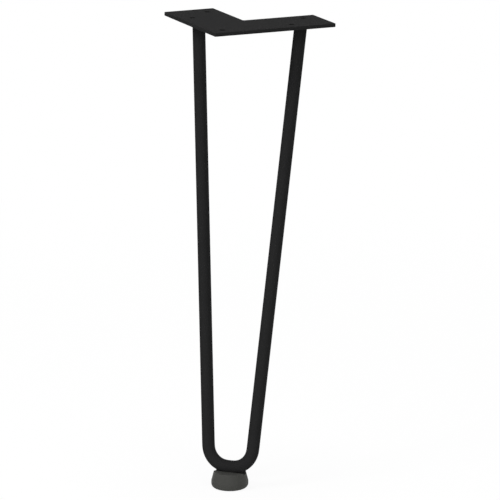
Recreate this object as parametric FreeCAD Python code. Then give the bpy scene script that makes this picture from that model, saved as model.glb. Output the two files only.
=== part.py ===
import FreeCAD, Part
import math
import os
from FreeCAD import Placement, Rotation, Vector

# Hairpin table leg. One round steel bar is bent into a narrow U and welded under an L-shaped
# steel plate. The U leans, so that its bend stands in a grooved rubber foot below the plate's
# outer corner.
#
# Frame, in millimetres: the origin lies on the plate's top face, straight above the foot's axis.
# +Z points up into the tabletop, +X from the left run of the bar to the right one, and +Y along
# the plate's diagonal, from its outer corner towards the middle of the table.

# Overall height, from the floor to the plate's top face.
leg_height = 440.0

# Mounting plate: two equal arms that meet in a square corner, cut from one sheet.
arm_length = 121.0
arm_width = 50.0
plate_thickness = 3.5
plate_corner_radius = 1.2
plate_edge_chamfer = 0.4

# Screw holes: one in the outer corner, and two on each arm, one on either side of the bar.
# The inset is from the nearer long edge, and a setback is from the end of the arm.
screw_hole_diameter = 5.0
screw_inset = 12.5
near_screw_setback = 39.0
far_screw_setback = 16.0

# Bar: its ends are centred on the width of the arms, at a setback from the end of each arm.
bar_diameter = 12.0
bar_end_setback = 24.0
bend_radius = 19.5
bend_flat = 6.0

# Weld bead round each end of the bar: the leg of its fillet.
weld_leg = 4.0

# Rubber foot: a straight band at the floor under a tapered wall, and a groove for the bend.
# The inset is from the plate's outer corner, along its diagonal. The taper is how far the wall
# leans in on each side. The bar sinks into the groove by a depth below the foot's top face, on
# a film of glue.
foot_inset = 32.5
foot_height = 16.0
foot_base_diameter = 35.0
foot_taper = 2.5
foot_band_height = 6.5
foot_base_radius = 4.0
foot_rim_chamfer = 0.5
bar_sink = 2.1
glue_film = 0.2

# Places worked out from the sizes above, with the plate's own measured from its outer corner.
SIN_45 = math.sin(math.radians(45.0))
bar_radius = bar_diameter / 2.0
bar_end_inset = arm_width / 2.0
bar_end_reach = arm_length - bar_end_setback
floor_z = -leg_height
plate_bottom_z = -plate_thickness
bend_low_z = floor_z + foot_height - bar_sink + bar_radius
bar_end_x = (bar_end_reach - bar_end_inset) * SIN_45
bar_end_y = (bar_end_reach + bar_end_inset) * SIN_45 - foot_inset

# The U is drawn upright, with the lowest point of its axis at the origin, and then leaned and
# moved to its place. Its splay is the angle between each straight run and its middle line.
u_rise = math.hypot(bar_end_y, plate_bottom_z - bend_low_z)
u_lean = math.degrees(math.atan2(bar_end_y, plate_bottom_z - bend_low_z))
u_placement = Placement(Vector(0, 0, bend_low_z), Rotation(Vector(1, 0, 0), -u_lean))
half_flat = bend_flat / 2.0
end_distance = math.hypot(bar_end_x - half_flat, u_rise - bend_radius)
end_bearing = math.atan2(u_rise - bend_radius, bar_end_x - half_flat)
u_splay = math.acos(bend_radius / end_distance) - end_bearing


def on_plate(along, across, z):
    """Point at distances from the plate's outer corner, along one arm and along the other."""
    return Vector((along - across) * SIN_45, (along + across) * SIN_45 - foot_inset, z)


def screw_points():
    """Centres of the screw holes on the plate's underside: the corner, then mirrored pairs."""
    near = (arm_length - near_screw_setback, screw_inset)
    far = (arm_length - far_screw_setback, arm_width - screw_inset)
    points = [on_plate(screw_inset, screw_inset, plate_bottom_z)]
    for along, across in (near, far):
        points.append(on_plate(along, across, plate_bottom_z))
        points.append(on_plate(across, along, plate_bottom_z))
    return points


def is_upright(edge):
    """Whether the edge joins the plate's two faces."""
    return edge.BoundBox.ZLength > plate_thickness / 2.0


def mounting_plate():
    """Flat L-shaped plate with eased edges, drilled for its screws."""
    corners = (
        (0.0, 0.0),
        (arm_length, 0.0),
        (arm_length, arm_width),
        (arm_width, arm_width),
        (arm_width, arm_length),
        (0.0, arm_length),
    )
    outline = [on_plate(along, across, plate_bottom_z) for along, across in corners]
    sheet = Part.Face(Part.makePolygon(outline + outline[:1]))
    plate = sheet.extrude(Vector(0, 0, plate_thickness))
    upright = [edge for edge in plate.Edges if is_upright(edge)]
    plate = plate.makeFillet(plate_corner_radius, upright)
    level = [edge for edge in plate.Edges if not is_upright(edge)]
    plate = plate.makeChamfer(plate_edge_chamfer, level)
    hole_radius = screw_hole_diameter / 2.0
    holes = [Part.makeCylinder(hole_radius, plate_thickness, point) for point in screw_points()]
    return plate.cut(Part.makeCompound(holes))


def bend_point(side, angle):
    """Point of the upright U's axis on one rounded corner, at an angle below straight out."""
    across = half_flat + bend_radius * math.cos(angle)
    return Vector(side * across, 0, bend_radius - bend_radius * math.sin(angle))


def run_direction(side):
    """Unit vector up one straight run of the upright U."""
    return Vector(side * math.sin(u_splay), 0, math.cos(u_splay))


def run_end(side):
    """Where the axis of one straight run of the upright U meets the plate's underside."""
    return Vector(side * bar_end_x, 0, u_rise)


def run_top(side):
    """End of the untrimmed bar's axis, one bar diameter past the plate's underside."""
    return run_end(side) + run_direction(side) * bar_diameter


def untrimmed_bar():
    """Bent round bar whose ends still reach up into the plate."""
    bottom = math.pi / 2.0
    edges = [Part.LineSegment(bend_point(-1, bottom), bend_point(1, bottom)).toShape()]
    for side in (-1, 1):
        start = bend_point(side, u_splay)
        middle = bend_point(side, (u_splay + bottom) / 2.0)
        edges.append(Part.LineSegment(run_top(side), start).toShape())
        edges.append(Part.Arc(start, middle, bend_point(side, bottom)).toShape())
    path = Part.Wire(Part.__sortEdges__(edges))
    section = Part.Wire(Part.makeCircle(bar_radius, run_top(-1), run_direction(-1)))
    bar = path.makePipeShell([section], True, False)
    bar.Placement = u_placement
    return bar


def under_plate(shape):
    """The part of the shape that lies below the plate's underside."""
    size = 2.0 * (leg_height + arm_length)
    corner = Vector(-size / 2.0, -size / 2.0, plate_bottom_z - size)
    return shape.common(Part.makeBox(size, size, size, corner)).Solids[0]


def hairpin_bar():
    """Bent bar with both ends cut off flush with the plate's underside."""
    return under_plate(untrimmed_bar())


def weld_bead(side):
    """Fillet of weld metal in the corner between the bar's end and the plate."""
    height = weld_leg + bar_diameter
    bead = Part.makeCone(bar_radius, bar_radius + height, height, Vector(0, 0, -weld_leg))
    along_run = Placement(run_end(side), Rotation(Vector(0, 0, 1), run_direction(side)))
    bead.Placement = u_placement.multiply(along_run)
    return under_plate(bead.cut(untrimmed_bar()))


def level_edges(shape, height):
    """Edges of the shape that lie at one height all the way round."""
    return [edge for edge in shape.Edges if lies_at(edge.BoundBox, height)]


def lies_at(box, height):
    """Whether the box is flat and lies at the height."""
    tolerance = 0.001
    return abs(box.ZMin - height) < tolerance and abs(box.ZMax - height) < tolerance


def rubber_foot():
    """Round tapered foot with a straight groove across its top, in which the bend lies."""
    base_radius = foot_base_diameter / 2.0
    top_radius = base_radius - foot_taper
    band = Part.makeCylinder(base_radius, foot_band_height)
    wall_height = foot_height - foot_band_height
    wall = Part.makeCone(base_radius, top_radius, wall_height, Vector(0, 0, foot_band_height))
    foot = band.fuse(wall).removeSplitter()
    foot = foot.makeFillet(foot_base_radius, level_edges(foot, 0.0))
    foot = foot.makeChamfer(foot_rim_chamfer, level_edges(foot, foot_height))
    foot.translate(Vector(0, 0, floor_z))
    groove_radius = bar_radius + glue_film
    groove_start = Vector(-foot_base_diameter, 0, bend_low_z)
    groove_length = 2.0 * foot_base_diameter
    groove = Part.makeCylinder(groove_radius, groove_length, groove_start, Vector(1, 0, 0))
    return foot.cut(groove)


pieces = {
    "mounting_plate": mounting_plate(),
    "hairpin_bar": hairpin_bar(),
    "left_weld_bead": weld_bead(-1),
    "right_weld_bead": weld_bead(1),
    "rubber_foot": rubber_foot(),
}
os.makedirs("parts", exist_ok=True)
for name, piece in pieces.items():
    piece.exportStep(os.path.join("parts", name + ".step"))
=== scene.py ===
import bmesh
import bpy
import math
from mathutils import Matrix, Vector


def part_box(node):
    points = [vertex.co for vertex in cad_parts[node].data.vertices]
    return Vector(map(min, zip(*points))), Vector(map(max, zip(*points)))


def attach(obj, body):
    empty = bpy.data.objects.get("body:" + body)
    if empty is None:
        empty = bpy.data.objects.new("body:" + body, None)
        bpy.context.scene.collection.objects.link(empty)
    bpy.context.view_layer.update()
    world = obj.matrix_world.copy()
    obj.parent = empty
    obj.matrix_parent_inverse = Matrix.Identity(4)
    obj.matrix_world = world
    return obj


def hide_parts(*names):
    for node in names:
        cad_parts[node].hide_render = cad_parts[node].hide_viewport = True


# Hairpin table leg in black powder coat, standing in its rubber foot. Lengths are in metres, in
# the frame of the solids: the origin on the plate's top face, straight above the foot's axis.
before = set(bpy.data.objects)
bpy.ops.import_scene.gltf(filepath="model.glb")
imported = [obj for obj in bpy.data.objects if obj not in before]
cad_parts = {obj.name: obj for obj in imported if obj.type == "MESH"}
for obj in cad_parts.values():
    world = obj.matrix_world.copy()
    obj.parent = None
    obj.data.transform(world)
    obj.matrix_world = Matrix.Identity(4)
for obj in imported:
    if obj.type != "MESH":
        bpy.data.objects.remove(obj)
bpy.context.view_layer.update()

# Plate, as cut from the sheet. The corner is the radius at the outline's corners, and the edges
# are the radii along the rims of the sheet's two faces and round the rims of its screw holes.
ARM_LENGTH = 0.121
ARM_WIDTH = 0.050
PLATE_THICKNESS = 0.0035
PLATE_CORNER = 0.00122
PLATE_EDGE = 0.0005
SCREW_HOLE_RADIUS = 0.0025
SCREW_HOLE_EDGE = 0.0005
SCREW_INSET = 0.0125
NEAR_SCREW_SETBACK = 0.039
FAR_SCREW_SETBACK = 0.016

# Bar, bent cold into a narrow U. Over the ease, a bend runs softly into a straight run.
BAR_RADIUS = 0.006
BAR_END_SETBACK = 0.024
BEND_RADIUS = 0.0195
BEND_HALF_FLAT = 0.003
BEND_EASE = 0.005

# Weld bead round each end of the bar. The ripples are counted all the way round, and at the
# bead's edges they lag by a share of their spacing. The bead's width swings up from its narrowest
# share of the leg, and never goes above the leg. A lower crown power makes a fuller bead.
WELD_LEG = 0.0037
WELD_NARROWEST = 0.88
WELD_SWING = 0.24
WELD_SWING_SCALE = 1.6
WELD_BULGE = 0.00055
WELD_CROWN_POWER = 0.6
WELD_RIPPLES = 19
WELD_RIPPLE_HEIGHT = 0.0004
WELD_RIPPLE_LAG = 0.45

# Rubber foot, as heights above the floor and radii about its axis. The groove cuts into the wall
# no further below the rim than the grooved wall is long.
FOOT_INSET = 0.0325
FOOT_HEIGHT = 0.016
FOOT_BASE_RADIUS = 0.0175
FOOT_TOP_RADIUS = 0.015
FOOT_BAND = 0.0065
FOOT_BASE_ROUND = 0.004
FOOT_SHOULDER_ROUND = 0.008
FOOT_RIM_ROUND = 0.0006
GROOVE_RADIUS = 0.0062
GROOVE_LIP = 0.0004
GROOVED_WALL = 0.0034
BAR_SINK = 0.0021
BASE_BORDER = 0.0006

# Fineness of the meshes.
CORNER_STEPS = 8
PLATE_EDGE_STEPS = 4
HOLE_EDGE_STEPS = 3
HOLE_SEGMENTS = 48
BAR_SEGMENTS = 64
RUN_STEPS = 16
BEND_STEPS = 32
EASE_SAMPLES = 8
HEADING_STEP = 0.0001
WELD_SEGMENTS = 240
WELD_FACE_STEPS = 14
WELD_MERGE = 0.000002
FOOT_SEGMENTS = 320
FOOT_COLUMNS = 24
RIM_STEPS = 8
GROOVED_WALL_STEPS = 30
LOWER_WALL_STEPS = 4
SHOULDER_STEPS = 6
BASE_STEPS = 12

# Gloss of the finishes. The white floor and background show in it, so the coat has very little.
COAT_GLOSS = 0.02
RUBBER_GLOSS = 0.25

# Specks in a finish: the noise at which they start to show, and at which they are full.
SPECK_START = 0.62
SPECK_FULL = 0.74

# Painted shade on the foot's top face and in its groove, under the bar's bend: its tone beside the
# wall, and how far it reaches past the groove.
TOP_SHADE_TONE = 0.7
TOP_SHADE_MARGIN = 0.0001

# Floor, a hair below the foot. The camera sees it as pure glow far from the foot. Near the foot
# it sees a small share of the lit paper, which takes the shadow, over a slightly weaker glow.
FLOOR_HALF_SIZE = 12.0
FLOOR_GAP = 0.0001
FLOOR_COLOUR = 0.7
FLOOR_ROUGHNESS = 0.9
FLOOR_LIT_SHARE = 0.1
FLOOR_NEAR_GLOW = 0.935
GLOW_FADE_START = 0.5
GLOW_FADE_END = 1.3
WORLD_LIGHT = 0.03

# Camera of the photograph, with its roll in degrees, and its lens and sensor in millimetres.
CAMERA_PLACE = (1.19419, -3.01679, 0.59324)
CAMERA_FORWARD = (-0.351846, 0.904689, -0.240297)
CAMERA_ROLL = -0.1229
CAMERA_LENS = 259.2
CAMERA_SENSOR = 36.0
CAMERA_FAR = 40.0

# Studio lamps: name, place, size and power in watts.
LAMPS = (
    ("overhead", (0.0, 0.03, 1.9), 0.9, 20.8),
    ("front left above", (-1.1, -1.4, 1.5), 0.8, 15.5),
    ("front left", (-1.45, -1.7, -0.2), 0.45, 8.5),
    ("front right", (1.5, -1.5, -0.2), 0.45, 10.5),
    ("front", (0.75, -2.1, -0.2), 0.45, 3.5),
    ("back right", (1.05, 1.85, -0.2), 0.45, 8.5),
    ("back left", (-1.55, 1.4, -0.2), 0.45, 8.5),
)

# Places that follow from the sizes. The U is drawn upright, with the lowest point of its axis at
# the origin, and then leaned and moved to its place.
SIN_45 = math.sin(math.radians(45.0))
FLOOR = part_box("rubber_foot")[0].z
PLATE_UNDERSIDE = -PLATE_THICKNESS
BEND_LOW = FLOOR + FOOT_HEIGHT - BAR_SINK + BAR_RADIUS
BAR_END_INSET = ARM_WIDTH / 2.0
BAR_END_REACH = ARM_LENGTH - BAR_END_SETBACK
BAR_END_X = (BAR_END_REACH - BAR_END_INSET) * SIN_45
BAR_END_Y = (BAR_END_REACH + BAR_END_INSET) * SIN_45 - FOOT_INSET
U_RISE = math.hypot(BAR_END_Y, PLATE_UNDERSIDE - BEND_LOW)
U_LEAN = math.atan2(BAR_END_Y, PLATE_UNDERSIDE - BEND_LOW)
U_SPLAY = (math.acos(BEND_RADIUS / math.hypot(BAR_END_X - BEND_HALF_FLAT, U_RISE - BEND_RADIUS))
           - math.atan2(U_RISE - BEND_RADIUS, BAR_END_X - BEND_HALF_FLAT))
BEND_TURN = math.pi / 2.0 - U_SPLAY
U_PLACE = Matrix.Translation((0.0, 0.0, BEND_LOW)) @ Matrix.Rotation(-U_LEAN, 4, "X")


# Nodes and sockets

def put(tree, kind, **settings):
    """Adds a node of a kind to a tree and sets its properties."""
    node = tree.nodes.new(kind)
    for name, value in settings.items():
        setattr(node, name, value)
    return node


def join(tree, value, socket):
    """Links an output to a socket, or writes a plain value on it."""
    if isinstance(value, bpy.types.NodeSocket):
        tree.links.new(value, socket)
    else:
        socket.default_value = value


def maths(tree, operation, *values, clamp=False):
    """Result of a math node on numbers or outputs."""
    node = put(tree, "ShaderNodeMath", operation=operation, use_clamp=clamp)
    for socket, value in zip(node.inputs, values):
        join(tree, value, socket)
    return node.outputs[0]


def times(tree, first, second):
    """Product of two numbers or outputs."""
    return maths(tree, "MULTIPLY", first, second)


def vector_of(tree, x, y, z):
    """Vector put together from three numbers or outputs."""
    node = put(tree, "ShaderNodeCombineXYZ")
    for socket, value in zip(node.inputs, (x, y, z)):
        join(tree, value, socket)
    return node.outputs[0]


def length_of(tree, vector):
    """Length of a vector output."""
    node = put(tree, "ShaderNodeVectorMath", operation="LENGTH")
    join(tree, vector, node.inputs[0])
    return node.outputs["Value"]


def dimmed(tree, colour, factor):
    """Colour made darker or lighter by a factor."""
    node = put(tree, "ShaderNodeVectorMath", operation="SCALE")
    join(tree, colour, node.inputs[0])
    join(tree, factor, node.inputs["Scale"])
    return node.outputs[0]


def ramp(tree, value, start, end):
    """Soft step from none at the start to one at the end."""
    node = put(tree, "ShaderNodeMapRange", interpolation_type="SMOOTHSTEP")
    join(tree, value, node.inputs["Value"])
    node.inputs["From Min"].default_value = start
    node.inputs["From Max"].default_value = end
    return node.outputs[0]


def noise(tree, where, scale, detail, roughness):
    """Noise factor at a place, with a scale in features for each metre."""
    node = put(tree, "ShaderNodeTexNoise")
    join(tree, where, node.inputs["Vector"])
    join(tree, scale, node.inputs["Scale"])
    join(tree, detail, node.inputs["Detail"])
    join(tree, roughness, node.inputs["Roughness"])
    return node.outputs[0]


def mixed(tree, factor, first, second):
    """Mix of two colours."""
    node = put(tree, "ShaderNodeMix", data_type="RGBA")
    join(tree, factor, node.inputs["Factor"])
    join(tree, first, node.inputs["A"])
    join(tree, second, node.inputs["B"])
    return node.outputs["Result"]


def mixed_shader(tree, factor, first, second):
    """Mix of two shaders."""
    node = put(tree, "ShaderNodeMixShader")
    for socket, value in zip(node.inputs, (factor, first, second)):
        join(tree, value, socket)
    return node.outputs[0]


def socket_in(tree, name, kind, value=None):
    """Adds a named input to a node group."""
    socket = tree.interface.new_socket(name, in_out="INPUT", socket_type=kind)
    if value is not None:
        socket.default_value = value


def socket_out(tree, name, kind):
    """Adds a named output to a node group."""
    tree.interface.new_socket(name, in_out="OUTPUT", socket_type=kind)


# Surface effects that the coat and the rubber share

def surface_relief_group():
    """Height of a fine waviness with a finer grain on it, for the Height of a bump."""
    tree = bpy.data.node_groups.new("Surface relief", "ShaderNodeTree")
    socket_in(tree, "Position", "NodeSocketVector")
    socket_in(tree, "Wave Scale", "NodeSocketFloat", 600.0)
    socket_in(tree, "Grain Scale", "NodeSocketFloat", 4000.0)
    socket_in(tree, "Grain Share", "NodeSocketFloat", 0.3)
    socket_out(tree, "Height", "NodeSocketFloat")
    inputs = put(tree, "NodeGroupInput")
    outputs = put(tree, "NodeGroupOutput")
    place = inputs.outputs["Position"]
    wave = noise(tree, place, inputs.outputs["Wave Scale"], detail=1.0, roughness=0.4)
    grain = noise(tree, place, inputs.outputs["Grain Scale"], detail=2.0, roughness=0.6)
    share = inputs.outputs["Grain Share"]
    rest = maths(tree, "SUBTRACT", 1.0, share)
    height = maths(tree, "ADD", times(tree, wave, rest), times(tree, grain, share))
    join(tree, height, outputs.inputs["Height"])
    return tree


def tone_drift_group():
    """Slow change of tone over the surface, with faint specks, as a colour and a roughness."""
    tree = bpy.data.node_groups.new("Tone drift", "ShaderNodeTree")
    socket_in(tree, "Position", "NodeSocketVector")
    socket_in(tree, "Colour", "NodeSocketColor", (0.5, 0.5, 0.5, 1.0))
    socket_in(tree, "Speck Colour", "NodeSocketColor", (0.6, 0.6, 0.6, 1.0))
    socket_in(tree, "Drift", "NodeSocketFloat", 0.1)
    socket_in(tree, "Drift Scale", "NodeSocketFloat", 40.0)
    socket_in(tree, "Specks", "NodeSocketFloat", 0.2)
    socket_in(tree, "Speck Scale", "NodeSocketFloat", 1500.0)
    socket_in(tree, "Roughness", "NodeSocketFloat", 0.5)
    socket_in(tree, "Roughness Drift", "NodeSocketFloat", 0.1)
    socket_out(tree, "Colour", "NodeSocketColor")
    socket_out(tree, "Roughness", "NodeSocketFloat")
    inputs = put(tree, "NodeGroupInput")
    outputs = put(tree, "NodeGroupOutput")
    place = inputs.outputs["Position"]
    # The noise runs from 0 to 1, so the tone swings up and down by as much as the drift says.
    drift = noise(tree, place, inputs.outputs["Drift Scale"], detail=3.0, roughness=0.55)
    centred = maths(tree, "SUBTRACT", drift, 0.5)
    swing = times(tree, centred, inputs.outputs["Drift"])
    gain = maths(tree, "MULTIPLY_ADD", swing, 2.0, 1.0)
    tone = dimmed(tree, inputs.outputs["Colour"], gain)
    # Only the highest crests of the noise show as specks.
    speck = noise(tree, place, inputs.outputs["Speck Scale"], detail=1.0, roughness=0.5)
    shown = ramp(tree, speck, SPECK_START, SPECK_FULL)
    amount = times(tree, shown, inputs.outputs["Specks"])
    colour = mixed(tree, amount, tone, inputs.outputs["Speck Colour"])
    join(tree, colour, outputs.inputs["Colour"])
    rough = maths(tree, "MULTIPLY_ADD", centred, inputs.outputs["Roughness Drift"],
                  inputs.outputs["Roughness"])
    join(tree, rough, outputs.inputs["Roughness"])
    return tree


RELIEF = surface_relief_group()
TONE = tone_drift_group()


def finish_material(name, tone, relief, depth, gloss):
    """Material of one shader, with its tone and its relief from the shared groups."""
    material = bpy.data.materials.new(name)
    material.use_nodes = True
    tree = material.node_tree
    shader = tree.nodes["Principled BSDF"]
    shader.inputs["Specular IOR Level"].default_value = gloss
    place = put(tree, "ShaderNodeTexCoord").outputs["Object"]
    drift = put(tree, "ShaderNodeGroup", node_tree=TONE)
    join(tree, place, drift.inputs["Position"])
    for socket, value in tone.items():
        join(tree, value, drift.inputs[socket])
    join(tree, drift.outputs["Colour"], shader.inputs["Base Color"])
    join(tree, drift.outputs["Roughness"], shader.inputs["Roughness"])
    skin = put(tree, "ShaderNodeGroup", node_tree=RELIEF)
    join(tree, place, skin.inputs["Position"])
    for socket, value in relief.items():
        join(tree, value, skin.inputs[socket])
    bump = put(tree, "ShaderNodeBump")
    bump.inputs["Distance"].default_value = depth
    join(tree, skin.outputs["Height"], bump.inputs["Height"])
    join(tree, bump.outputs["Normal"], shader.inputs["Normal"])
    return material


def powder_coat(name, wave_scale, depth, roughness):
    """Black powder coat, with the fine orange peel of the sprayed and baked powder."""
    tone = {
        "Colour": (0.0265, 0.0265, 0.0268, 1.0),
        "Speck Colour": (0.050, 0.050, 0.051, 1.0),
        "Drift": 0.12,
        "Drift Scale": 55.0,
        "Specks": 0.5,
        "Speck Scale": 2600.0,
        "Roughness": roughness,
        "Roughness Drift": 0.12,
    }
    relief = {"Wave Scale": wave_scale, "Grain Scale": 2600.0, "Grain Share": 0.4}
    return finish_material(name, tone, relief, depth, COAT_GLOSS)


def top_shade_share(tree):
    """Share of painted shade under the bar's bend: one on the top face of the foot and in its
    groove, and none on its wall.
    """
    place = put(tree, "ShaderNodeSeparateXYZ")
    join(tree, put(tree, "ShaderNodeTexCoord").outputs["Object"], place.inputs[0])
    # The tone turns on the upper half of the rounded rim.
    top = FLOOR + FOOT_HEIGHT
    level = ramp(tree, place.outputs["Z"], top - FOOT_RIM_ROUND / 2.0, top - FOOT_RIM_ROUND / 20.0)
    above_axis = maths(tree, "SUBTRACT", place.outputs["Z"], BEND_LOW)
    from_axis = length_of(tree, vector_of(tree, 0.0, place.outputs["Y"], above_axis))
    edge = GROOVE_RADIUS + TOP_SHADE_MARGIN
    outside = ramp(tree, from_axis, edge, GROOVE_RADIUS + GROOVE_LIP)
    return maths(tree, "MAXIMUM", level, maths(tree, "SUBTRACT", 1.0, outside))


def foot_rubber():
    """Matte moulded grey rubber with a fine pitted skin, and painted shade on its top and in its
    groove.
    """
    tone = {
        "Colour": (0.0690, 0.0697, 0.0640, 1.0),
        "Speck Colour": (0.115, 0.115, 0.11, 1.0),
        "Drift": 0.16,
        "Drift Scale": 130.0,
        "Specks": 0.3,
        "Speck Scale": 2400.0,
        "Roughness": 0.78,
        "Roughness Drift": 0.15,
    }
    relief = {"Wave Scale": 900.0, "Grain Scale": 3200.0, "Grain Share": 0.6}
    material = finish_material("Foot rubber", tone, relief, depth=0.00014, gloss=RUBBER_GLOSS)
    # The top face and the groove are painted darker, as painted shade under the bar's bend.
    tree = material.node_tree
    base = tree.nodes["Principled BSDF"].inputs["Base Color"]
    unshaded = base.links[0].from_socket
    shaded = dimmed(tree, unshaded, TOP_SHADE_TONE)
    join(tree, mixed(tree, top_shade_share(tree), unshaded, shaded), base)
    return material


# Pieces

def add_piece(name, mesh, material, node):
    """Shows a mesh in place of a solid, on the leg's one body."""
    piece = bpy.data.objects.new(name, mesh)
    bpy.context.scene.collection.objects.link(piece)
    if not mesh.materials:
        mesh.materials.append(material)
    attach(piece, "root")
    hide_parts(node)
    return piece


def mesh_of(bm, name):
    """Plain mesh of a bmesh."""
    mesh = bpy.data.meshes.new(name)
    bm.normal_update()
    bm.to_mesh(mesh)
    bm.free()
    return mesh


def ring_of(bm, points):
    """Adds one vertex for each point of a closed ring."""
    return [bm.verts.new(point) for point in points]


def bridge(bm, first, second):
    """Band of smooth quads between two rings of as many vertices."""
    count = len(first)
    for i in range(count):
        j = (i + 1) % count
        face = bm.faces.new((first[i], first[j], second[j], second[i]))
        face.smooth = True


# Mounting plate

PLATE_CORNERS = (
    (0.0, 0.0),
    (ARM_LENGTH, 0.0),
    (ARM_LENGTH, ARM_WIDTH),
    (ARM_WIDTH, ARM_WIDTH),
    (ARM_WIDTH, ARM_LENGTH),
    (0.0, ARM_LENGTH),
)
NOTCH = 3


def on_plate(point, z):
    """Place in the leg's frame of a point measured along the plate's two outer edges."""
    along, across = point
    return Vector(((along - across) * SIN_45, (along + across) * SIN_45 - FOOT_INSET, z))


def plate_outline():
    """Points round the corners: a corner's centre, the way out, and whether it bulges out."""
    found = []
    count = len(PLATE_CORNERS)
    for i, corner in enumerate(PLATE_CORNERS):
        corner = Vector(corner)
        arriving = (corner - Vector(PLATE_CORNERS[i - 1])).normalized()
        leaving = (Vector(PLATE_CORNERS[(i + 1) % count]) - corner).normalized()
        centre = corner + (leaving - arriving) * PLATE_CORNER
        before = Vector((arriving.y, -arriving.x))
        after = Vector((leaving.y, -leaving.x))
        for step in range(CORNER_STEPS + 1):
            turn = math.pi / 2.0 * step / CORNER_STEPS
            out = before * math.cos(turn) + after * math.sin(turn)
            found.append((centre, out, -1.0 if i == NOTCH else 1.0))
    return found


def plate_ring(outline, inset, z):
    """Outline of the plate drawn in by a small inset."""
    points = []
    for centre, out, bulge in outline:
        points.append(on_plate(centre + out * (bulge * PLATE_CORNER - inset), z))
    return points


def hole_ring(centre, radius, z):
    """Circle round a screw hole, run against the outline so that its wall faces in."""
    points = []
    for i in range(HOLE_SEGMENTS):
        angle = -math.tau * i / HOLE_SEGMENTS
        offset = Vector((math.cos(angle), math.sin(angle))) * radius
        points.append(on_plate(Vector(centre) + offset, z))
    return points


def edge_steps(edge, steps):
    """Insets and heights down the rounded edges and the wall of the plate."""
    found = []
    for step in range(steps + 1):
        turn = math.pi / 2.0 * step / steps
        found.append((edge * (1.0 - math.sin(turn)), -edge * (1.0 - math.cos(turn))))
    below = [(inset, PLATE_UNDERSIDE - z) for inset, z in reversed(found)]
    return found + below


def screw_places():
    """Screw holes, measured along the plate's two outer edges."""
    near = (ARM_LENGTH - NEAR_SCREW_SETBACK, SCREW_INSET)
    far = (ARM_LENGTH - FAR_SCREW_SETBACK, ARM_WIDTH - SCREW_INSET)
    return [(SCREW_INSET, SCREW_INSET), near, near[::-1], far, far[::-1]]


def fill_flat(bm, rings, up):
    """Flat face between the outline and the screw holes, on the plate's top or underside."""
    rims = []
    for ring in rings:
        rims += [bm.edges.get((ring[i - 1], ring[i])) for i in range(len(ring))]
    flats = bmesh.ops.triangle_fill(bm, use_beauty=True, edges=rims, normal=up)
    for face in flats["geom"]:
        if isinstance(face, bmesh.types.BMFace):
            face.normal_update()
            if face.normal.dot(up) < 0.0:
                face.normal_flip()
            face.smooth = True


def plate_mesh():
    """L-shaped sheet with softened edges and drilled screw holes."""
    bm = bmesh.new()
    outline = plate_outline()
    walls = [[ring_of(bm, plate_ring(outline, inset, z))
              for inset, z in edge_steps(PLATE_EDGE, PLATE_EDGE_STEPS)]]
    for centre in screw_places():
        walls.append([ring_of(bm, hole_ring(centre, SCREW_HOLE_RADIUS + inset, z))
                      for inset, z in edge_steps(SCREW_HOLE_EDGE, HOLE_EDGE_STEPS)])
    for wall in walls:
        for upper, lower in zip(wall, wall[1:]):
            bridge(bm, lower, upper)
    fill_flat(bm, [wall[0] for wall in walls], Vector((0.0, 0.0, 1.0)))
    fill_flat(bm, [wall[-1] for wall in walls], Vector((0.0, 0.0, -1.0)))
    return mesh_of(bm, "mounting plate")


def weight_flats(piece):
    """Keeps flat faces flat beside rounded edges."""
    bpy.context.view_layer.update()
    modifier = piece.modifiers.new("flat faces lead", "WEIGHTED_NORMAL")
    modifier.weight = 100
    modifier.keep_sharp = True


# Hairpin bar

def sharp_axis(along):
    """Point of the upright U's axis, at a distance along it from the middle of the bend."""
    distance = abs(along)
    turned = min(max(distance - BEND_HALF_FLAT, 0.0) / BEND_RADIUS, BEND_TURN)
    run = max(distance - BEND_HALF_FLAT - BEND_RADIUS * BEND_TURN, 0.0)
    x = min(distance, BEND_HALF_FLAT) + BEND_RADIUS * math.sin(turned) + run * math.sin(U_SPLAY)
    z = BEND_RADIUS * (1.0 - math.cos(turned)) + run * math.cos(U_SPLAY)
    return Vector((math.copysign(x, along), 0.0, z))


def eased_axis(along):
    """Point of the axis where the bend runs softly into the straight runs, as a bent bar does."""
    total = Vector()
    for i in range(-EASE_SAMPLES, EASE_SAMPLES + 1):
        weight = EASE_SAMPLES + 1 - abs(i)
        total += sharp_axis(along + BEND_EASE * i / EASE_SAMPLES) * weight
    return total / (EASE_SAMPLES + 1) ** 2


def bar_stations():
    """Distances along the axis, wide apart on the runs and close together round the bend."""
    bend_end = BEND_HALF_FLAT + BEND_RADIUS * BEND_TURN
    corner = sharp_axis(bend_end)
    top = bend_end + (Vector((BAR_END_X, 0.0, U_RISE)) - corner).length
    soft_end = bend_end + BEND_EASE
    half = [top + (soft_end - top) * i / RUN_STEPS for i in range(RUN_STEPS)]
    half += [soft_end * (1.0 - i / BEND_STEPS) for i in range(BEND_STEPS)]
    return half + [0.0] + [-along for along in reversed(half)]


def bar_mesh():
    """Round bar along its path, with both ends cut flush with the plate's underside."""
    bm = bmesh.new()
    rings = []
    stations = bar_stations()
    depth = Vector((0.0, 1.0, 0.0))
    for i, along in enumerate(stations):
        centre = eased_axis(along)
        ahead = eased_axis(along - HEADING_STEP)
        heading = (ahead - eased_axis(along + HEADING_STEP)).normalized()
        side = heading.cross(depth)
        points = []
        for k in range(BAR_SEGMENTS):
            angle = math.tau * k / BAR_SEGMENTS
            offset = (side * math.cos(angle) + depth * math.sin(angle)) * BAR_RADIUS
            points.append(U_PLACE @ (centre + offset))
        if i in (0, len(stations) - 1):
            run = U_PLACE.to_3x3() @ heading
            points = [p + run * ((PLATE_UNDERSIDE - p.z) / run.z) for p in points]
        rings.append(ring_of(bm, points))
    for first, second in zip(rings, rings[1:]):
        bridge(bm, first, second)
    bm.faces.new(rings[0])
    bm.faces.new(rings[-1])
    bmesh.ops.recalc_face_normals(bm, faces=bm.faces)
    return mesh_of(bm, "hairpin bar")


# Weld beads

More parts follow.
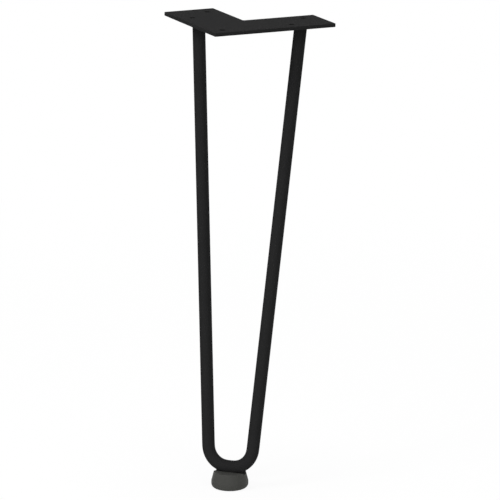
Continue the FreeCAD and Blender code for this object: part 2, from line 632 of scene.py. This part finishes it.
def weld_inputs(tree):
    """Names the sizes of a weld bead as the inputs of its tree."""
    socket_in(tree, "Bar Radius", "NodeSocketFloat", BAR_RADIUS)
    socket_in(tree, "Leg", "NodeSocketFloat", WELD_LEG)
    socket_in(tree, "Bulge", "NodeSocketFloat", WELD_BULGE)
    socket_in(tree, "Ripples", "NodeSocketInt", WELD_RIPPLES)
    socket_in(tree, "Ripple Height", "NodeSocketFloat", WELD_RIPPLE_HEIGHT)
    socket_in(tree, "Plate Normal", "NodeSocketVector")
    socket_in(tree, "Seed", "NodeSocketFloat", 0.0)
    socket_in(tree, "Material", "NodeSocketMaterial")
    socket_out(tree, "Geometry", "NodeSocketGeometry")


def bead_width(tree, inputs, cosine, sine):
    """Leg of the bead round the bar: the hand's small swings make it narrower here and there."""
    swing = put(tree, "ShaderNodeTexNoise", noise_dimensions="4D")
    join(tree, vector_of(tree, cosine, sine, 0.0), swing.inputs["Vector"])
    join(tree, inputs["Seed"], swing.inputs["W"])
    join(tree, WELD_SWING_SCALE, swing.inputs["Scale"])
    width = maths(tree, "MULTIPLY_ADD", swing.outputs[0], WELD_SWING, WELD_NARROWEST)
    return times(tree, inputs["Leg"], maths(tree, "MINIMUM", width, 1.0))


def bead_lift(tree, inputs, around, across):
    """Height of the bulge and its ripples above the bead's straight face."""
    # Each pass leaves a crescent, so the ripples lag at both edges of the bead.
    from_middle = maths(tree, "SUBTRACT", times(tree, across, 2.0), 1.0)
    lag = times(tree, times(tree, from_middle, from_middle), WELD_RIPPLE_LAG)
    phase = maths(tree, "MULTIPLY_ADD", around, inputs["Ripples"], lag)
    crest = maths(tree, "ABSOLUTE", maths(tree, "SINE", times(tree, phase, math.pi)))
    lift = maths(tree, "MULTIPLY_ADD", crest, inputs["Ripple Height"], inputs["Bulge"])
    # The bulge and the ripples fade out at both edges.
    crown = times(tree, times(tree, across, 4.0), maths(tree, "SUBTRACT", 1.0, across))
    return times(tree, lift, maths(tree, "POWER", crown, WELD_CROWN_POWER))


def plate_slope(tree, inputs, cosine, sine):
    """Rise of the plate's underside round the leaning bar, for each step out from its axis."""
    normal = put(tree, "ShaderNodeSeparateXYZ")
    join(tree, inputs["Plate Normal"], normal.inputs[0])
    tilt = maths(tree, "ADD", times(tree, normal.outputs["X"], cosine),
                 times(tree, normal.outputs["Y"], sine))
    return maths(tree, "DIVIDE", times(tree, tilt, -1.0), normal.outputs["Z"])


def bead_place(tree, inputs):
    """Place on the bead of each point of a flat grid, one across and centred on the origin."""
    place = put(tree, "ShaderNodeSeparateXYZ")
    join(tree, put(tree, "GeometryNodeInputPosition").outputs[0], place.inputs[0])
    around = maths(tree, "ADD", place.outputs["X"], 0.5)
    step = times(tree, maths(tree, "ADD", place.outputs["Y"], 0.5), WELD_FACE_STEPS + 2.0)
    # The bead's face takes the first steps, from the bar to the plate. The next step is the inner
    # corner, where the bar meets the plate, and the last one comes back to the start.
    is_corner = maths(tree, "COMPARE", step, WELD_FACE_STEPS + 1.0, 0.1)
    is_closing = maths(tree, "GREATER_THAN", step, WELD_FACE_STEPS + 1.5)
    on_face = maths(tree, "SUBTRACT", 1.0, is_corner)
    across = maths(tree, "DIVIDE", step, float(WELD_FACE_STEPS), clamp=True)
    across = times(tree, across, maths(tree, "SUBTRACT", 1.0, is_closing))
    angle = times(tree, around, math.tau)
    cosine = maths(tree, "COSINE", angle)
    sine = maths(tree, "SINE", angle)
    leg = bead_width(tree, inputs, cosine, sine)
    lift = times(tree, times(tree, bead_lift(tree, inputs, around, across), SIN_45), on_face)
    reach = times(tree, times(tree, leg, across), on_face)
    drop = times(tree, times(tree, leg, maths(tree, "SUBTRACT", 1.0, across)), on_face)
    base = maths(tree, "ADD", inputs["Bar Radius"], reach)
    radius = maths(tree, "ADD", base, lift)
    height = times(tree, base, plate_slope(tree, inputs, cosine, sine))
    height = maths(tree, "SUBTRACT", maths(tree, "SUBTRACT", height, drop), lift)
    return vector_of(tree, times(tree, radius, cosine), times(tree, radius, sine), height)


def weld_tree():
    """Ring of weld metal between the bar and the plate, with the ripples of its passes."""
    tree = bpy.data.node_groups.new("Weld bead", "GeometryNodeTree")
    weld_inputs(tree)
    inputs = put(tree, "NodeGroupInput").outputs
    outputs = put(tree, "NodeGroupOutput")
    grid = put(tree, "GeometryNodeMeshGrid")
    grid.inputs["Size X"].default_value = 1.0
    grid.inputs["Size Y"].default_value = 1.0
    grid.inputs["Vertices X"].default_value = WELD_SEGMENTS + 1
    grid.inputs["Vertices Y"].default_value = WELD_FACE_STEPS + 3
    moved = put(tree, "GeometryNodeSetPosition")
    join(tree, grid.outputs["Mesh"], moved.inputs["Geometry"])
    join(tree, bead_place(tree, inputs), moved.inputs["Position"])
    closed = put(tree, "GeometryNodeMergeByDistance")
    join(tree, moved.outputs["Geometry"], closed.inputs["Geometry"])
    closed.inputs["Distance"].default_value = WELD_MERGE
    smooth = put(tree, "GeometryNodeSetShadeSmooth")
    join(tree, closed.outputs["Geometry"], smooth.inputs["Geometry"])
    real = put(tree, "GeometryNodeRealizeInstances")
    join(tree, smooth.outputs["Geometry"], real.inputs["Geometry"])
    painted = put(tree, "GeometryNodeSetMaterial")
    join(tree, real.outputs["Geometry"], painted.inputs["Geometry"])
    join(tree, inputs["Material"], painted.inputs["Material"])
    join(tree, painted.outputs["Geometry"], outputs.inputs["Geometry"])
    return tree


def input_id(tree, name):
    """Identifier of a tree's input, by its name."""
    for item in tree.interface.items_tree:
        if item.item_type == "SOCKET" and item.in_out == "INPUT" and item.name == name:
            return item.identifier
    raise KeyError(name)


def grown(tree, name, values):
    """Plain mesh that a geometry tree makes from its named inputs."""
    carrier = bpy.data.objects.new(name, bpy.data.meshes.new(name))
    bpy.context.scene.collection.objects.link(carrier)
    modifier = carrier.modifiers.new(name, "NODES")
    modifier.node_group = tree
    for socket, value in values.items():
        modifier[input_id(tree, socket)] = value
    bpy.context.view_layer.update()
    shown = carrier.evaluated_get(bpy.context.evaluated_depsgraph_get())
    mesh = bpy.data.meshes.new_from_object(shown)
    carrier.modifiers.remove(modifier)
    bpy.data.objects.remove(carrier)
    return mesh


def weld_mesh(tree, side, material, seed):
    """Weld bead at the end of one run, in its place under the plate."""
    run = Vector((side * math.sin(U_SPLAY), 0.0, math.cos(U_SPLAY)))
    turn = Vector((0.0, 0.0, 1.0)).rotation_difference(run).to_matrix().to_4x4()
    place = U_PLACE @ Matrix.Translation((side * BAR_END_X, 0.0, U_RISE)) @ turn
    up = place.to_3x3().inverted() @ Vector((0.0, 0.0, 1.0))
    mesh = grown(tree, "weld bead", {"Plate Normal": up, "Seed": seed, "Material": material})
    mesh.transform(place)
    bm = bmesh.new()
    bm.from_mesh(mesh)
    bmesh.ops.recalc_face_normals(bm, faces=bm.faces)
    bm.to_mesh(mesh)
    bm.free()
    return mesh


# Rubber foot

def foot_profile():
    """Radii and heights above the floor, from the rim of the top face down to the floor."""
    wall = Vector((FOOT_BASE_RADIUS - FOOT_TOP_RADIUS, FOOT_BAND - FOOT_HEIGHT)).normalized()
    points = []
    # Rim, from level to the slant of the wall.
    slant = math.atan2(-wall.y, wall.x)
    reach = FOOT_RIM_ROUND * math.tan(slant / 2.0)
    middle = Vector((FOOT_TOP_RADIUS - reach, FOOT_HEIGHT - FOOT_RIM_ROUND))
    for i in range(RIM_STEPS + 1):
        turn = slant * i / RIM_STEPS
        points.append(middle + Vector((math.sin(turn), math.cos(turn))) * FOOT_RIM_ROUND)
    # Wall, closely stepped as far down as the groove reaches.
    shoulder = Vector((FOOT_BASE_RADIUS, FOOT_BAND))
    bend = math.pi / 2.0 - slant
    tangent = FOOT_SHOULDER_ROUND * math.tan(bend / 2.0)
    wall_end = shoulder - wall * tangent
    start = points[-1].copy()
    groove_low = start + wall * GROOVED_WALL
    for i in range(1, GROOVED_WALL_STEPS + 1):
        points.append(start.lerp(groove_low, i / GROOVED_WALL_STEPS))
    for i in range(1, LOWER_WALL_STEPS + 1):
        points.append(groove_low.lerp(wall_end, i / LOWER_WALL_STEPS))
    # Shoulder, where the wall turns into the upright band.
    middle = Vector((FOOT_BASE_RADIUS - FOOT_SHOULDER_ROUND, FOOT_BAND - tangent))
    for i in range(1, SHOULDER_STEPS + 1):
        turn = bend * (1.0 - i / SHOULDER_STEPS)
        points.append(middle + Vector((math.cos(turn), math.sin(turn))) * FOOT_SHOULDER_ROUND)
    # Rounded lower edge.
    middle = Vector((FOOT_BASE_RADIUS - FOOT_BASE_ROUND, FOOT_BASE_ROUND))
    for i in range(BASE_STEPS + 1):
        turn = math.pi / 2.0 * i / BASE_STEPS
        points.append(middle + Vector((math.cos(turn), -math.sin(turn))) * FOOT_BASE_ROUND)
    return points


def under_groove(height, y):
    """Height of the foot's skin above the floor, where the groove may cut it down."""
    inside = GROOVE_RADIUS ** 2 - y ** 2
    if inside <= 0.0:
        return height
    groove = FOOT_HEIGHT - BAR_SINK + BAR_RADIUS - math.sqrt(inside)
    gap = groove - height
    if gap > GROOVE_LIP:
        return height
    if gap < -GROOVE_LIP:
        return groove
    # The lip is rounded off where the skin and the groove meet.
    share = (gap + GROOVE_LIP) / (2.0 * GROOVE_LIP)
    blend = groove + (height - groove) * share
    return blend - GROOVE_LIP * share * (1.0 - share)


def lay_top(bm, rim):
    """Top face in lines across, so that the groove and its lips run straight."""
    half = len(rim) // 2
    lines = []
    for k in range(half + 1):
        right = rim[k]
        left = rim[-k]
        line = [right]
        if k not in (0, half):
            for i in range(1, FOOT_COLUMNS):
                x = right.co.x * math.cos(math.pi * i / FOOT_COLUMNS)
                z = FLOOR + under_groove(FOOT_HEIGHT, right.co.y)
                line.append(bm.verts.new((x, right.co.y, z)))
            line.append(left)
        lines.append(line)
    # The first and the last line are one vertex each, so the faces beside them are triangles.
    for first, second in zip(lines, lines[1:]):
        for i in range(FOOT_COLUMNS):
            corners = []
            for line, j in ((first, i), (first, i + 1), (second, i + 1), (second, i)):
                vertex = line[min(j, len(line) - 1)]
                if vertex not in corners:
                    corners.append(vertex)
            face = bm.faces.new(corners)
            face.smooth = True


def foot_mesh():
    """Moulded foot, drawn as rings of one skin under a top with its groove."""
    bm = bmesh.new()
    rings = []
    for point in foot_profile():
        points = []
        for k in range(FOOT_SEGMENTS):
            angle = math.tau * k / FOOT_SEGMENTS - math.pi / 2.0
            x = point.x * math.cos(angle)
            y = point.x * math.sin(angle)
            points.append((x, y, FLOOR + under_groove(point.y, y)))
        rings.append(ring_of(bm, points))
    for upper, lower in zip(rings, rings[1:]):
        bridge(bm, lower, upper)
    lay_top(bm, rings[0])
    # A narrow border keeps the flat underside's shading off the rounded edge.
    bottom = bm.faces.new(rings[-1])
    border = bmesh.ops.inset_individual(bm, faces=[bottom], thickness=BASE_BORDER)
    for face in border["faces"]:
        face.smooth = True
    bmesh.ops.recalc_face_normals(bm, faces=bm.faces)
    return mesh_of(bm, "rubber foot")


# Floor, lamps and camera

def sees_white(tree):
    """One for the rays that show the background, and none for those that light the leg."""
    path = put(tree, "ShaderNodeLightPath")
    seen = maths(tree, "MAXIMUM", path.outputs["Is Camera Ray"], path.outputs["Is Glossy Ray"])
    return maths(tree, "MAXIMUM", seen, path.outputs["Is Transmission Ray"])


def floor_material():
    """White to the camera, with the leg's shadow on it, and clear from below."""
    material = bpy.data.materials.new("White floor")
    material.use_nodes = True
    tree = material.node_tree
    paper = tree.nodes["Principled BSDF"]
    paper.inputs["Roughness"].default_value = FLOOR_ROUGHNESS
    paper.inputs["Specular IOR Level"].default_value = 0.0
    glow = put(tree, "ShaderNodeEmission")
    seen = sees_white(tree)
    # Seen by the camera, the lit floor and its glow make white together where no shadow falls.
    # Away from the foot the glow makes it alone.
    place = put(tree, "ShaderNodeTexCoord").outputs["Object"]
    far = ramp(tree, length_of(tree, place), GLOW_FADE_START, GLOW_FADE_END)
    lit = maths(tree, "MULTIPLY_ADD", far, -FLOOR_LIT_SHARE, FLOOR_LIT_SHARE)
    glowing = maths(tree, "MULTIPLY_ADD", far, 1.0 - FLOOR_NEAR_GLOW, FLOOR_NEAR_GLOW)
    join(tree, times(tree, seen, glowing), glow.inputs["Strength"])
    shade = put(tree, "ShaderNodeMix")
    join(tree, seen, shade.inputs["Factor"])
    join(tree, FLOOR_COLOUR, shade.inputs["A"])
    join(tree, lit, shade.inputs["B"])
    join(tree, vector_of(tree, *[shade.outputs["Result"]] * 3), paper.inputs["Base Color"])
    both = put(tree, "ShaderNodeAddShader")
    join(tree, paper.outputs[0], both.inputs[0])
    join(tree, glow.outputs[0], both.inputs[1])
    below = put(tree, "ShaderNodeNewGeometry").outputs["Backfacing"]
    clear = put(tree, "ShaderNodeBsdfTransparent").outputs[0]
    surface = tree.nodes["Material Output"].inputs["Surface"]
    join(tree, mixed_shader(tree, below, both.outputs[0], clear), surface)
    return material


def white_floor():
    """Pale floor under the foot, which isn't part of the leg."""
    low, high, z = -FLOOR_HALF_SIZE, FLOOR_HALF_SIZE, FLOOR - FLOOR_GAP
    mesh = bpy.data.meshes.new("floor")
    mesh.from_pydata([(low, low, z), (high, low, z), (high, high, z), (low, high, z)],
                     [], [(0, 1, 2, 3)])
    mesh.materials.append(floor_material())
    floor = bpy.data.objects.new("floor", mesh)
    bpy.context.scene.collection.objects.link(floor)


def soft_world():
    """Faint light from all round, with a white background behind the floor."""
    world = bpy.data.worlds.new("Studio")
    world.use_nodes = True
    bpy.context.scene.world = world
    tree = world.node_tree
    dim = tree.nodes["Background"]
    white = put(tree, "ShaderNodeBackground")
    for background, strength in ((dim, WORLD_LIGHT), (white, 1.0)):
        background.inputs["Color"].default_value = (1.0, 1.0, 1.0, 1.0)
        background.inputs["Strength"].default_value = strength
    surface = tree.nodes["World Output"].inputs["Surface"]
    join(tree, mixed_shader(tree, sees_white(tree), dim.outputs[0], white.outputs[0]), surface)


def soft_box(name, place, size, power):
    """Square studio lamp that looks at the middle of the leg and stays out of sight."""
    lamp = bpy.data.lights.new(name, "AREA")
    lamp.shape = "SQUARE"
    lamp.size = size
    lamp.energy = power
    holder = bpy.data.objects.new(name, lamp)
    bpy.context.scene.collection.objects.link(holder)
    place = Vector(place)
    turn = (Vector((0.0, 0.0, FLOOR / 2.0)) - place).to_track_quat("-Z", "Y")
    holder.matrix_world = Matrix.Translation(place) @ turn.to_matrix().to_4x4()
    holder.visible_camera = False


def photo_camera():
    """Camera at the photograph's place, turned and zoomed as it was."""
    forward = Vector(CAMERA_FORWARD).normalized()
    right = forward.cross(Vector((0.0, 0.0, 1.0))).normalized()
    up = right.cross(forward)
    roll = math.radians(CAMERA_ROLL)
    side = right * math.cos(roll) + up * math.sin(roll)
    top = up * math.cos(roll) - right * math.sin(roll)
    turn = Matrix((side, top, -forward)).transposed().to_4x4()
    lens = bpy.data.cameras.new("Camera")
    lens.sensor_width = CAMERA_SENSOR
    lens.lens = CAMERA_LENS
    lens.clip_end = CAMERA_FAR
    camera = bpy.data.objects.new("Camera", lens)
    bpy.context.scene.collection.objects.link(camera)
    camera.matrix_world = Matrix.Translation(CAMERA_PLACE) @ turn
    bpy.context.scene.camera = camera


photo_camera()
white_floor()
soft_world()
for lamp in LAMPS:
    soft_box(*lamp)
bpy.context.scene.view_settings.view_transform = "Standard"

# The bend and the sheet take the coat a little differently, and the weld is the smoothest.
coat_on_sheet = powder_coat("Powder coat on sheet",
                            wave_scale=700.0, depth=0.00014, roughness=0.92)
coat_on_bar = powder_coat("Powder coat on bar",
                          wave_scale=760.0, depth=0.00012, roughness=0.90)
coat_on_weld = powder_coat("Powder coat on weld",
                           wave_scale=900.0, depth=0.00010, roughness=0.84)
plate = add_piece("plate", plate_mesh(), coat_on_sheet, "mounting_plate")
weight_flats(plate)
add_piece("bar", bar_mesh(), coat_on_bar, "hairpin_bar")
bead = weld_tree()
for name, node, side, seed in (("left_weld", "left_weld_bead", -1, 1.0),
                               ("right_weld", "right_weld_bead", 1, 5.0)):
    add_piece(name, weld_mesh(bead, side, coat_on_weld, seed), coat_on_weld, node)
add_piece("foot", foot_mesh(), foot_rubber(), "rubber_foot")
